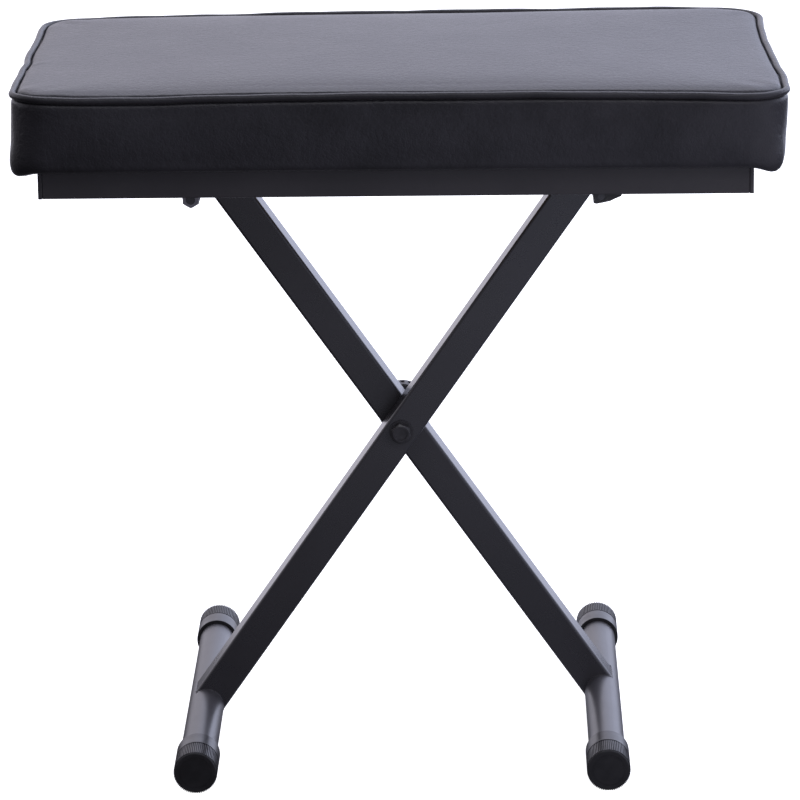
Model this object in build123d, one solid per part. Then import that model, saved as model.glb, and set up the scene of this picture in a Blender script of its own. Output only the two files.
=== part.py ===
"""Folding-height piano bench: a padded seat on one scissor pair of square steel legs.

Millimetres. The origin is on the floor under the middle of the bench, +X runs along the seat to the
right, +Y from the front to the back and +Z up. The rear leg leans up to the left and hinges on the seat
frame. The front leg leans up to the right and slides in two guides. A bolt and a knob clamp the crossing.
"""
import os
from math import cos, radians, sin, sqrt

from build123d import *

# legs and feet
LEG_ANGLE = 55.0           # slope of both legs, in degrees from the floor
LEG_REACH = 250.0          # from the crossing bolt to the foot tube's axis, and to the leg's top end
LEG_SIZE = 24.0            # outside of the square tube
LEG_WALL = 1.5
LEG_CORNER = 2.0
LEG_GAP = 2.2              # between the two legs, filled by the spacer
FOOT_RADIUS = 12.7
FOOT_WALL = 1.5
FOOT_LENGTH = 326.0
FOOT_HEIGHT = 15.0         # the foot tubes' axis above the floor
CAP_RADIUS = 15.2
CAP_END = 4.0              # thickness of a cap's closed end
CAP_LENGTH = 40.0
CAP_RIBBED = 20.5          # length of the ribbed band next to the closed end
CAP_RIBS = 72
CAP_RIB_WIDTH = 0.62
CAP_RIB_HEIGHT = 0.7
CAP_GROOVE = 1.4           # width and depth of the groove behind the band
CAP_GROOVE_DEPTH = 1.1
CAP_RING_OUTER = 11.4      # a shallow ring pressed in the closed end
CAP_RING_INNER = 10.6
CAP_RING_DEPTH = 0.3
CAP_LIP_CHAMFER = 0.25
PLUG_PLATE = 2.0
PLUG_TONGUE = 5.0
PLUG_FREE = 0.1
PLUG_ROUND = 0.8
VENT_RADIUS = 1.1
VENT_Y = 27.0              # the vent hole stands behind the leg, on the tube's outer side
VENT_TILT = 31.0

# cross rods at the top of the legs
ROD_X = 139.7              # the rods stand this far left and right of the middle
ROD_Z = 412.5
ROD_RADIUS = 6.0
SPIGOT_RADIUS = 4.0
STUD_RADIUS = 3.2
NUT_WIDTH = 11.0
NUT_HEIGHT = 5.4
NUT_CHAMFER = 0.7
STUD_END = 2.0             # how far a stud stands out of its nut
WASHER = 1.0
SLIDE_PIN_RADIUS = 2.6
SLIDE_PIN_SHORT = 1.0      # a slide pin stops this far inside its block

# crossing bolt and clamp knob
BOLT_RADIUS = 4.0
BOLT_HEAD_WIDTH = 13.0
BOLT_HEAD_HEIGHT = 5.3
BOLT_HEAD_TURN = 38.0      # one corner of the head stands almost straight up
BOLT_BEVEL = 1.1           # depth and width of the bevel that rounds off the head's corners
BOLT_BEVEL_WIDTH = 1.9
BOLT_DISH_RADIUS = 4.5
BOLT_DISH_DEPTH = 0.8
BOLT_END = 5.0             # the bolt stops this far inside the knob's outer face
BOLT_WASHER = 1.6
BOLT_WASHER_RADIUS = 8.5
KNOB_WASHER_RADIUS = 9.5
SPACER_RADIUS = 12.0
WASHER_FREE = 0.2          # radial clearance of a washer round the bolt
SLEEVE_RADIUS = 6.0
KNOB_RADIUS = 18.5
KNOB_THICKNESS = 13.5
KNOB_NECK_RADIUS = 10.0
KNOB_NECK = 9.3
KNOB_RIM = 3.2             # smooth rims on both sides of the scalloped grip
KNOB_ROUND = 1.6
KNOB_SCALLOPS = 20
SCALLOP_RADIUS = 2.2
SCALLOP_DEPTH = 0.9
INSERT_RADIUS = 6.5
INSERT_COVER = 3.0         # knob material outside the insert's blind end

# seat frame of angle steel
FRAME_WIDTH = 485.6
FRAME_DEPTH = 263.6
FRAME_BOTTOM = 415.8
FRAME_TOP = 436.4
RAIL_FLANGE = 20.0
RAIL_WALL = 3.0
RAIL_ROUND = 1.0
CORNER_ROUND = 1.2
CORNER_BEVEL = 0.5         # the bevel each side of the corner joint
SCREW_SHANK = 2.3
SCREW_HEAD = 4.8
SCREW_HEAD_HEIGHT = 2.6
SCREW_ROUND = 1.8
SCREW_FREE = 0.1
SCREW_SHORT = 2.0          # a screw stops this far below the board's top
SCREW_X = 205.0            # screws through the long rails, from the middle
SCREW_MIDDLE_X = 60.0
SCREW_Y = 60.0             # screws through the side rails
BRACKET_HALF = 20.0
BRACKET_SHOULDER = 6.0
BRACKET_EDGE = 2.2         # metal round the bracket's bore

# guides and slide blocks
GUIDE_WIDTH = 16.0
GUIDE_HEIGHT = 14.0
GUIDE_WALL = 1.5
GUIDE_SLOT = 7.0
GUIDE_START = 129.0
GUIDE_END = 222.0
BLOCK_FREE = 0.3           # clearance of a slide block in its guide
BLOCK_DEPTH = 10.0         # a slide block's thickness below its guide
BLOCK_LEFT = 5.7           # from the pin to the lug's left side
BLOCK_RIGHT = 16.3
BLOCK_NECK_LEFT = 4.5      # from the pin to the neck's left side
BLOCK_HEAD = 28.0          # length of the part that runs inside the guide
BLOCK_HEAD_MIDDLE = 5.3    # from the pin to the middle of the head
BLOCK_ROUND = 0.8
# the lug's lower outline: distance right of the pin, height above the floor
BLOCK_OUTLINE = ((-5.5, 408.6), (-3.4, 408.1), (0.9, 408.9), (6.0, 410.0), (9.4, 411.7), (13.2, 413.2))

# cushion
SEAT_WIDTH = 521.0
SEAT_DEPTH = 299.0
SEAT_CORNER = 25.0
SEAT_TOP = 496.2
TOP_ROUND = 8.0
LOWER_ROUND = 3.0
COVER = 1.2
HEM = 52.0
BOARD = 12.0
BOARD_INSET = 3.4          # the foam wraps down round the board's edge
PIPING_RADIUS = 2.5
PIPING_Z = 488.0
PIPING_INSET = 0.6

RUNNING = 0.05             # radial clearance of a turning fit
PLAY = 0.15                # end play beside a turning part
UP = (Align.CENTER, Align.CENTER, Align.MIN)

slope = radians(LEG_ANGLE)
crossing_z = FOOT_HEIGHT + LEG_REACH * sin(slope)
foot_x = LEG_REACH * cos(slope)
leg_y = (LEG_GAP + LEG_SIZE) / 2
leg_back = LEG_GAP / 2 + LEG_SIZE
frame_front = FRAME_DEPTH / 2
flange_underside = FRAME_TOP - RAIL_WALL
board_bottom = FRAME_TOP + COVER
board_top = board_bottom + BOARD
ear_outer = frame_front - RAIL_FLANGE + RAIL_WALL
ear_inner = frame_front - RAIL_FLANGE
guide_y = frame_front - RAIL_WALL - GUIDE_WIDTH / 2
knob_start = leg_back + BOLT_WASHER + PLAY
knob_end = knob_start + KNOB_NECK + KNOB_THICKNESS


def bar_y(x, z, radius, y0, y1):
    """A round bar along Y between y0 and y1."""
    return Pos(x, (y0 + y1) / 2, z) * Rot(90, 0, 0) * Cylinder(radius, y1 - y0)


def ring_y(x, z, inner, outer, y0, y1):
    """A washer along Y."""
    return bar_y(x, z, outer, y0, y1) - bar_y(x, z, inner, y0, y1)


def hexagon_y(x, z, width, y0, y1, turn=30.0):
    """A hexagonal prism along Y, a given width across its flats."""
    outline = Rot(0, 0, turn) * RegularPolygon(width / sqrt(3), 6)
    return Pos(x, y1, z) * Rot(90, 0, 0) * extrude(outline, y1 - y0)


def block(x, y, z):
    """A box from its lowest and highest x, y and z."""
    middle = Pos((x[0] + x[1]) / 2, (y[0] + y[1]) / 2, (z[0] + z[1]) / 2)
    return middle * Box(x[1] - x[0], y[1] - y[0], z[1] - z[0])


def plate_y(outline, y0, y1):
    """A flat outline drawn in X and Z, as thick as y0 to y1."""
    return Pos(0, y1, 0) * Rot(90, 0, 0) * extrude(outline, y1 - y0)


def both_ends(shape):
    """A piece at the back and its mirror image at the front, as separate solids."""
    return Compound(children=[shape, mirror(shape, about=Plane.XZ)])


def save(name, shape):
    export_step(shape, f"parts/{name}.step")


# ---------------------------------------------------------------- legs


def leg_plane(along):
    """A plane across the rear leg, this far up its middle line from the crossing."""
    direction = Vector(-cos(slope), 0, sin(slope))
    origin = Vector(0, leg_y, crossing_z) + direction * along
    return Plane(origin=origin, x_dir=(sin(slope), 0, cos(slope)), z_dir=direction)


def leg_tube():
    """The rear leg: a square tube, saddle cut on the foot tube, bored for its sleeve and its rod."""
    inside = LEG_SIZE - 2 * LEG_WALL
    outline = RectangleRounded(LEG_SIZE, LEG_SIZE, LEG_CORNER)
    outline -= RectangleRounded(inside, inside, LEG_CORNER - LEG_WALL)
    tube = extrude(leg_plane(-LEG_REACH) * outline, 2 * LEG_REACH)
    tube -= bar_y(foot_x, FOOT_HEIGHT, FOOT_RADIUS, 0, 2 * leg_y)
    tube -= bar_y(0, crossing_z, SLEEVE_RADIUS + RUNNING, 0, 2 * leg_back)
    tube -= bar_y(-ROD_X, ROD_Z, ROD_RADIUS + RUNNING, 0, 2 * leg_back)
    return tube


def leg_plug():
    """The plastic plug in the leg's top end."""
    inside = LEG_SIZE - 2 * LEG_WALL - 2 * PLUG_FREE
    outline = RectangleRounded(LEG_SIZE, LEG_SIZE, LEG_CORNER)
    plate = extrude(leg_plane(LEG_REACH) * outline, PLUG_PLATE)
    up_the_leg = Axis(leg_plane(0).origin, leg_plane(0).z_dir)
    plate = fillet(plate.faces().sort_by(up_the_leg)[-1].edges(), PLUG_ROUND)
    return plate + extrude(leg_plane(LEG_REACH - PLUG_TONGUE) * Rectangle(inside, inside), PLUG_TONGUE)


def sleeve(bore):
    """The steel sleeve welded through a leg at the crossing."""
    outer = bar_y(0, crossing_z, SLEEVE_RADIUS, LEG_GAP / 2, leg_back)
    return outer - bar_y(0, crossing_z, bore, 0, 2 * leg_back)


def foot_tube():
    """The right foot tube, with a small vent hole beside the weld."""
    tube = bar_y(foot_x, FOOT_HEIGHT, FOOT_RADIUS, -FOOT_LENGTH / 2, FOOT_LENGTH / 2)
    tube -= bar_y(foot_x, FOOT_HEIGHT, FOOT_RADIUS - FOOT_WALL, -FOOT_LENGTH / 2, FOOT_LENGTH / 2)
    vent = Pos(foot_x, VENT_Y, FOOT_HEIGHT) * Rot(0, VENT_TILT, 0)
    vent *= Cylinder(VENT_RADIUS, 2 * FOOT_RADIUS, align=UP)
    return tube - vent


def foot_cap():
    """The slip-on rubber cap on the back end of the right foot tube, flattened where it stands."""
    outer_end = FOOT_LENGTH / 2 + CAP_END
    ribbed_start = outer_end - CAP_RIBBED
    groove_start = ribbed_start - CAP_GROOVE
    lip = outer_end - CAP_LENGTH
    ribbed = bar_y(0, 0, CAP_RADIUS - CAP_RIB_HEIGHT, ribbed_start, outer_end)
    ribbed = fillet(ribbed.edges().sort_by(Axis.Y)[-1], CAP_RIB_HEIGHT)
    half_rib = CAP_RIB_WIDTH / 2
    rib_root = CAP_RADIUS - 2 * CAP_RIB_HEIGHT
    rib = block((-half_rib, half_rib), (ribbed_start, outer_end - CAP_RIB_HEIGHT), (rib_root, CAP_RADIUS))
    ribs = [Rot(0, 360 / CAP_RIBS * number, 0) * rib for number in range(CAP_RIBS)]
    neck = bar_y(0, 0, CAP_RADIUS - CAP_GROOVE_DEPTH, groove_start, ribbed_start)
    smooth = bar_y(0, 0, CAP_RADIUS, lip, groove_start)
    smooth = chamfer(smooth.edges().sort_by(Axis.Y)[0], CAP_LIP_CHAMFER)
    cap = ribbed.fuse(*ribs) + neck + smooth
    cap -= bar_y(0, 0, FOOT_RADIUS + RUNNING, lip, FOOT_LENGTH / 2)
    cap -= ring_y(0, 0, CAP_RING_INNER, CAP_RING_OUTER, outer_end - CAP_RING_DEPTH, outer_end)
    cap = Pos(foot_x, 0, FOOT_HEIGHT) * cap
    return cap - block((0, 2 * foot_x), (lip, outer_end), (-CAP_RADIUS, 0))


def turned(shape):
    """The same piece for the other leg, half a turn round the bench's middle."""
    return Rot(0, 0, 180) * shape


# ---------------------------------------------------------------- rods at the top


def pivot_rod():
    """The rod that the rear leg hangs on, turned down to a spigot and a stud at each end."""
    shoulder = ear_inner - WASHER - PLAY
    rod = bar_y(-ROD_X, ROD_Z, ROD_RADIUS, -shoulder, shoulder)
    rod += bar_y(-ROD_X, ROD_Z, SPIGOT_RADIUS, -ear_outer - PLAY, ear_outer + PLAY)
    reach = ear_outer + PLAY + WASHER + NUT_HEIGHT + STUD_END
    return rod + bar_y(-ROD_X, ROD_Z, STUD_RADIUS, -reach, reach)


def rod_nut():
    start = ear_outer + PLAY + WASHER
    nut = hexagon_y(-ROD_X, ROD_Z, NUT_WIDTH, start, start + NUT_HEIGHT)
    rounded = bar_y(-ROD_X, ROD_Z, NUT_WIDTH / sqrt(3), start, start + NUT_HEIGHT)
    nut &= chamfer(rounded.edges().sort_by(Axis.Y)[-1], NUT_CHAMFER)
    return nut - bar_y(-ROD_X, ROD_Z, STUD_RADIUS, start, start + NUT_HEIGHT)


def slide_rod():
    """The front leg's rod, with a pin at each end that turns in a slide block."""
    shoulder = guide_y - BLOCK_DEPTH / 2 - PLAY
    rod = bar_y(ROD_X, ROD_Z, ROD_RADIUS, -shoulder, shoulder)
    reach = guide_y + BLOCK_DEPTH / 2 - SLIDE_PIN_SHORT
    return rod + bar_y(ROD_X, ROD_Z, SLIDE_PIN_RADIUS, -reach, reach)


def slide_block():
    """The back slide block: a head inside the guide, a neck through its slot and a lug on the pin."""
    guide_bottom = flange_underside - GUIDE_HEIGHT
    left = ROD_X - BLOCK_LEFT
    right = ROD_X + BLOCK_RIGHT
    lug_top = guide_bottom - BLOCK_FREE
    lower = [(ROD_X + x, z) for x, z in BLOCK_OUTLINE]
    lug = Polyline((left, lug_top), *lower, (right, lug_top), close=True)
    body = plate_y(make_face(lug), guide_y - BLOCK_DEPTH / 2, guide_y + BLOCK_DEPTH / 2)
    lower_edges = body.edges().filter_by(Axis.Y).filter_by_position(Axis.Z, lower[1][1] - 1, lower[-1][1] + 1)
    body = fillet(lower_edges, BLOCK_ROUND)
    head_middle = ROD_X + BLOCK_HEAD_MIDDLE
    head_x = (head_middle - BLOCK_HEAD / 2, head_middle + BLOCK_HEAD / 2)
    neck_half = GUIDE_SLOT / 2 - BLOCK_FREE
    head_half = GUIDE_WIDTH / 2 - GUIDE_WALL - BLOCK_FREE
    head_bottom = guide_bottom + GUIDE_WALL + BLOCK_FREE
    head_top = flange_underside - GUIDE_WALL - BLOCK_FREE
    neck_x = (ROD_X - BLOCK_NECK_LEFT, right)
    neck = block(neck_x, (guide_y - neck_half, guide_y + neck_half), (lug_top, head_bottom))
    head = block(head_x, (guide_y - head_half, guide_y + head_half), (head_bottom, head_top))
    bore = bar_y(ROD_X, ROD_Z, SLIDE_PIN_RADIUS + RUNNING, 0, guide_y + BLOCK_DEPTH / 2)
    return body + neck + head - bore


# ---------------------------------------------------------------- crossing bolt and knob


def pivot_bolt():
    """The hexagon bolt through both legs, from the front into the knob, with a dished head."""
    seat = -leg_back - BOLT_WASHER
    face = seat - BOLT_HEAD_HEIGHT
    head = hexagon_y(0, crossing_z, BOLT_HEAD_WIDTH, face, seat, turn=BOLT_HEAD_TURN)
    corner = BOLT_HEAD_WIDTH / sqrt(3)
    bevel = Pos(0, face + BOLT_BEVEL / 2, crossing_z) * Rot(90, 0, 0)
    bevel *= Cone(corner, corner - BOLT_BEVEL_WIDTH, BOLT_BEVEL)
    head &= bevel + bar_y(0, crossing_z, corner, face + BOLT_BEVEL, seat)
    head -= bar_y(0, crossing_z, BOLT_DISH_RADIUS, face, face + BOLT_DISH_DEPTH)
    return head + bar_y(0, crossing_z, BOLT_RADIUS, seat, knob_end - BOLT_END)


def clamp_knob():
    """The plastic knob: a scalloped grip between two smooth rims, a neck and a hole for its insert."""
    face = knob_start + KNOB_NECK
    disc = bar_y(0, 0, KNOB_RADIUS, face, knob_end)
    disc = fillet(disc.edges(), KNOB_ROUND)
    scallop_x = KNOB_RADIUS + SCALLOP_RADIUS - SCALLOP_DEPTH
    scallop = bar_y(scallop_x, 0, SCALLOP_RADIUS, face + KNOB_RIM, knob_end - KNOB_RIM)
    disc = disc.cut(*[Rot(0, 360 / KNOB_SCALLOPS * number, 0) * scallop for number in range(KNOB_SCALLOPS)])
    knob = disc + bar_y(0, 0, KNOB_NECK_RADIUS, knob_start, face)
    knob -= bar_y(0, 0, INSERT_RADIUS, knob_start, knob_end - INSERT_COVER)
    return Pos(0, 0, crossing_z) * knob


def knob_insert():
    """The threaded steel insert in the knob."""
    return ring_y(0, crossing_z, BOLT_RADIUS + RUNNING, INSERT_RADIUS, knob_start, knob_end - INSERT_COVER)


def bolt_ring(outer, y0, y1):
    """A washer or spacer on the crossing bolt."""
    return ring_y(0, crossing_z, BOLT_RADIUS + WASHER_FREE, outer, y0, y1)


# ---------------------------------------------------------------- seat frame


def screw_places():
    """Where the frame is screwed to the board: x and y of each screw."""
    rail_y = frame_front - RAIL_FLANGE / 2 - RAIL_WALL / 2
    side_x = FRAME_WIDTH / 2 - RAIL_FLANGE / 2 - RAIL_WALL / 2
    along = [(x, y) for x in (-SCREW_X, -SCREW_MIDDLE_X, SCREW_MIDDLE_X) for y in (-rail_y, rail_y)]
    return along + [(x, y) for x in (-side_x, side_x) for y in (-SCREW_Y, SCREW_Y)]


def frame_screw(x, y):
    """A pan-head screw from below, through the flange and the hem into the board."""
    head = Pos(x, y, flange_underside - SCREW_HEAD_HEIGHT) * Cylinder(SCREW_HEAD, SCREW_HEAD_HEIGHT, align=UP)
    head = fillet(head.edges().sort_by(Axis.Z)[0], SCREW_ROUND)
    length = board_top - SCREW_SHORT - flange_underside
    return head + Pos(x, y, flange_underside) * Cylinder(SCREW_SHANK, length, align=UP)


def screw_holes():
    """The holes for the screws, one solid each."""
    low = flange_underside - RAIL_WALL
    height = board_top - SCREW_SHORT + SCREW_FREE - low
    return [Pos(x, y, low) * Cylinder(SCREW_SHANK + SCREW_FREE, height, align=UP) for x, y in screw_places()]


def cross_rail():
    """The back rail of angle steel, its upright flange outside and its top flange under the board."""
    half = FRAME_WIDTH / 2 - RAIL_WALL
    back = frame_front
    upright = block((-half, half), (back - RAIL_WALL, back), (FRAME_BOTTOM, FRAME_TOP))
    top = block((-half, half), (back - RAIL_FLANGE, back - RAIL_WALL), (flange_underside, FRAME_TOP))
    rail = upright + top
    lower_outside = rail.edges().filter_by(Axis.X).sort_by(Axis.Z)[:2].sort_by(Axis.Y)[-1]
    rail = fillet(lower_outside, RAIL_ROUND)
    ends = rail.edges().filter_by(Axis.Z).filter_by_position(Axis.Y, back - 0.1, back + 0.1)
    return chamfer(ends, CORNER_BEVEL).cut(*screw_holes())


def side_rail():
    """The right rail of angle steel: its upright flange runs the whole depth of the frame."""
    right = FRAME_WIDTH / 2
    inner = frame_front - RAIL_FLANGE
    upright = block((right - RAIL_WALL, right), (-frame_front, frame_front), (FRAME_BOTTOM, FRAME_TOP))
    top = block((right - RAIL_FLANGE, right - RAIL_WALL), (-inner, inner), (flange_underside, FRAME_TOP))
    upright = fillet(upright.edges().filter_by(Axis.Z).sort_by(Axis.X)[-2:], CORNER_ROUND)
    upright = chamfer(upright.edges().filter_by(Axis.Z).sort_by(Axis.X)[:2], CORNER_BEVEL)
    return (upright + top).cut(*screw_holes())


def pivot_bracket():
    """The back bracket of the pivot rod: an ear behind the rail and a tab welded under its flange."""
    lobe = SPIGOT_RADIUS + BRACKET_EDGE
    top = flange_underside
    left, right = -ROD_X - BRACKET_HALF, -ROD_X + BRACKET_HALF
    ear = Polyline(
        (left, top), (left, top - BRACKET_SHOULDER), (-ROD_X - lobe, ROD_Z), (-ROD_X + lobe, ROD_Z),
        (right, top - BRACKET_SHOULDER), (right, top), close=True,
    )
    plate = plate_y(make_face(ear), ear_inner, ear_outer) + bar_y(-ROD_X, ROD_Z, lobe, ear_inner, ear_outer)
    tab = block((left, right), (ear_outer, frame_front - RAIL_WALL), (top - RAIL_WALL, top))
    return plate + tab - bar_y(-ROD_X, ROD_Z, SPIGOT_RADIUS + RUNNING, ear_inner, ear_outer)


def guide():
    """The back guide: a lipped channel under the rail's flange, closed at both ends as stops."""
    y0, y1 = guide_y - GUIDE_WIDTH / 2, guide_y + GUIDE_WIDTH / 2
    top = flange_underside
    bottom = top - GUIDE_HEIGHT
    hollow_x = (GUIDE_START + GUIDE_WALL, GUIDE_END - GUIDE_WALL)
    channel = block((GUIDE_START, GUIDE_END), (y0, y1), (bottom, top))
    channel -= block(hollow_x, (y0 + GUIDE_WALL, y1 - GUIDE_WALL), (bottom + GUIDE_WALL, top - GUIDE_WALL))
    slot = (guide_y - GUIDE_SLOT / 2, guide_y + GUIDE_SLOT / 2)
    return channel - block(hollow_x, slot, (bottom, bottom + GUIDE_WALL))


# ---------------------------------------------------------------- cushion


def seat_outline(inset):
    """The cushion's outline from above, this far in from its edge."""
    return RectangleRounded(SEAT_WIDTH - 2 * inset, SEAT_DEPTH - 2 * inset, SEAT_CORNER - inset)


def pad(inset, bottom, top):
    """A rounded pad, this far inside the cushion's outline, with soft upper and lower edges."""
    shape = Pos(0, 0, bottom) * extrude(seat_outline(inset), top - bottom)
    shape = fillet(shape.edges().group_by(Axis.Z)[-1], TOP_ROUND - inset)
    return fillet(shape.edges().group_by(Axis.Z)[0], LOWER_ROUND - inset)


def piping(radius):
    """A round cord along the cushion's top edge."""
    half_width = SEAT_WIDTH / 2 - PIPING_INSET
    half_depth = SEAT_DEPTH / 2 - PIPING_INSET
    corner = SEAT_CORNER - PIPING_INSET
    straight_x = half_width - corner
    straight_y = half_depth - corner
    short_run = Rot(90, 0, 0) * Cylinder(radius, 2 * straight_y)
    long_run = Rot(0, 90, 0) * Cylinder(radius, 2 * straight_x)
    runs = [Pos(side * half_width, 0, 0) * short_run for side in (-1, 1)]
    runs += [Pos(0, side * half_depth, 0) * long_run for side in (-1, 1)]
    section = Plane.XZ * Pos(corner, 0) * Circle(radius)
    bend = revolve(section, Axis.Z, 90)
    places = ((1, 1, 0), (-1, 1, 90), (-1, -1, 180), (1, -1, 270))
    bends = [Pos(x * straight_x, y * straight_y, 0) * Rot(0, 0, turn) * bend for x, y, turn in places]
    return Pos(0, 0, PIPING_Z) * runs[0].fuse(*runs[1:], *bends)


def board_blank():
    return Pos(0, 0, board_bottom) * extrude(seat_outline(BOARD_INSET), BOARD)


def seat_board():
    return board_blank().cut(*screw_holes())


def foam_pad():
    """The foam, wrapped down round the board's edge."""
    return pad(COVER, board_bottom, SEAT_TOP - COVER) - board_blank() - piping(PIPING_RADIUS)


def cover_shell():
    """The whole vinyl skin before it is divided: the band, the top and the hem turned in below."""
    shell = pad(0, FRAME_TOP, SEAT_TOP) - pad(COVER, board_bottom, SEAT_TOP - COVER)
    opening = Box(SEAT_WIDTH - 2 * HEM, SEAT_DEPTH - 2 * HEM, COVER)
    shell -= Pos(0, 0, FRAME_TOP + COVER / 2) * opening
    return (shell - piping(PIPING_RADIUS)).cut(*screw_holes())


def cover_part(low, high):
    """The part of the vinyl skin between two heights."""
    span = block((-SEAT_WIDTH, SEAT_WIDTH), (-SEAT_DEPTH, SEAT_DEPTH), (low, high))
    return cover_shell() & span


def main():
    os.makedirs("parts", exist_ok=True)

    save("foam_pad", foam_pad())
    save("cover_top", cover_part(PIPING_Z, SEAT_TOP))
    save("cover_band", cover_part(FRAME_TOP, PIPING_Z))
    save("cover_piping", piping(PIPING_RADIUS))
    save("seat_board", seat_board())
    save("rear_rail", cross_rail())
    save("front_rail", mirror(cross_rail(), about=Plane.XZ))
    save("right_rail", side_rail())
    save("left_rail", mirror(side_rail(), about=Plane.YZ))
    save("frame_screws", Compound(children=[frame_screw(x, y) for x, y in screw_places()]))
    save("pivot_bracket_rear", pivot_bracket())
    save("pivot_bracket_front", mirror(pivot_bracket(), about=Plane.XZ))
    save("slide_guide_rear", guide())
    save("slide_guide_front", mirror(guide(), about=Plane.XZ))

    save("rear_leg_tube", leg_tube())
    save("rear_leg_plug", leg_plug())
    save("rear_leg_sleeve", sleeve(BOLT_RADIUS + RUNNING))
    save("right_foot_tube", foot_tube())
    save("right_foot_cap_rear", foot_cap())
    save("right_foot_cap_front", mirror(foot_cap(), about=Plane.XZ))
    save("pivot_rod", pivot_rod())
    save("pivot_rod_nuts", both_ends(rod_nut()))
    washer = (-ROD_X, ROD_Z, STUD_RADIUS, NUT_WIDTH / 2, ear_outer + PLAY, ear_outer + PLAY + WASHER)
    save("pivot_rod_washers", both_ends(ring_y(*washer)))
    bush = (-ROD_X, ROD_Z, SPIGOT_RADIUS + RUNNING, ROD_RADIUS, ear_inner - WASHER, ear_inner)
    save("pivot_thrust_washers", both_ends(ring_y(*bush)))

    save("front_leg_tube", turned(leg_tube()))
    save("front_leg_plug", turned(leg_plug()))
    save("front_leg_sleeve", turned(sleeve(BOLT_RADIUS + RUNNING)))
    save("left_foot_tube", turned(foot_tube()))
    save("left_foot_cap_front", turned(foot_cap()))
    save("left_foot_cap_rear", turned(mirror(foot_cap(), about=Plane.XZ)))
    save("slide_rod", slide_rod())
    save("pivot_bolt", pivot_bolt())
    save("bolt_washer", bolt_ring(BOLT_WASHER_RADIUS, -leg_back - BOLT_WASHER, -leg_back))
    save("leg_spacer", bolt_ring(SPACER_RADIUS, -LEG_GAP / 2, LEG_GAP / 2 - PLAY))

    save("slide_block_rear", slide_block())
    save("slide_block_front", mirror(slide_block(), about=Plane.XZ))

    save("clamp_knob", clamp_knob())
    save("knob_insert", knob_insert())
    save("knob_washer", bolt_ring(KNOB_WASHER_RADIUS, leg_back, leg_back + BOLT_WASHER))


main()
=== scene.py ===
"""Looks for the piano bench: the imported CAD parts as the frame, with a simulated vinyl cushion,
its piping and hem, weld beads, staples and procedural materials.

Objects are in metres. Shapes are worked out in millimetres, and mesh_object() converts them.
"""
import math

import bpy
import numpy as np
from mathutils import Euler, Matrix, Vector
from mathutils.kdtree import KDTree


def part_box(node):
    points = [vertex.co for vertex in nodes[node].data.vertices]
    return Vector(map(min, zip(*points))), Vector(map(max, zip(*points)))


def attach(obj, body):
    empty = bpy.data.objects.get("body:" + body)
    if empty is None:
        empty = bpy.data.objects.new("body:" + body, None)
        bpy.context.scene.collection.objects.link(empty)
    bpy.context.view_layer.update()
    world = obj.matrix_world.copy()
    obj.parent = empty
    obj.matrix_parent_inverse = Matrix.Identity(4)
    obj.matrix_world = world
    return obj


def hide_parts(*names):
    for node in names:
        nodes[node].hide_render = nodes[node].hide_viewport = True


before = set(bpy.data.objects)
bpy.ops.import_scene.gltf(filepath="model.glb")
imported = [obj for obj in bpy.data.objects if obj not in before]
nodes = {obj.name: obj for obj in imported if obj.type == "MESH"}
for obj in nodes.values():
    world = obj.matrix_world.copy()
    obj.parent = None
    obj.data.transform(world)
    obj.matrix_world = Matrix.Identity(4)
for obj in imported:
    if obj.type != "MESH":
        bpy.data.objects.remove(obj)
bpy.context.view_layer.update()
scene = bpy.context.scene
MM = 0.001

# ---------------------------------------------------------------- camera, floor and light

camera = bpy.data.objects.new("camera", bpy.data.cameras.new("camera"))
scene.collection.objects.link(camera)
camera.location = (0.05604, -3.23064, 1.12643)
camera.rotation_euler = Euler([math.radians(a) for a in (74.598, 0.695, 0.821)], "XYZ")
camera.data.lens = 210.88
camera.data.sensor_width = 36.0
camera.data.clip_end = 100.0
scene.camera = camera
scene.view_settings.view_transform = "Standard"

# light levels, by where a reflected ray goes: in front of the bench, behind it and overhead
LEFT_TINT, RIGHT_TINT = (1.0, 0.965, 1.10, 1), (0.93, 0.98, 1.25, 1)
FRONT_LIGHT, BACK_LIGHT, TOP_LIGHT = 0.22, 1.18, 0.95
REAR_RIGHT_LIGHT = 0.4
BACKDROP_LIGHT = 1.05
# the floor's level in front runs from the left to the right
FLOOR_FRONT, FLOOR_BACK, FLOOR_GLOW = (0.07, 0.50), 1.25, 1.0
FLOOR_HALF = 30.0


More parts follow.
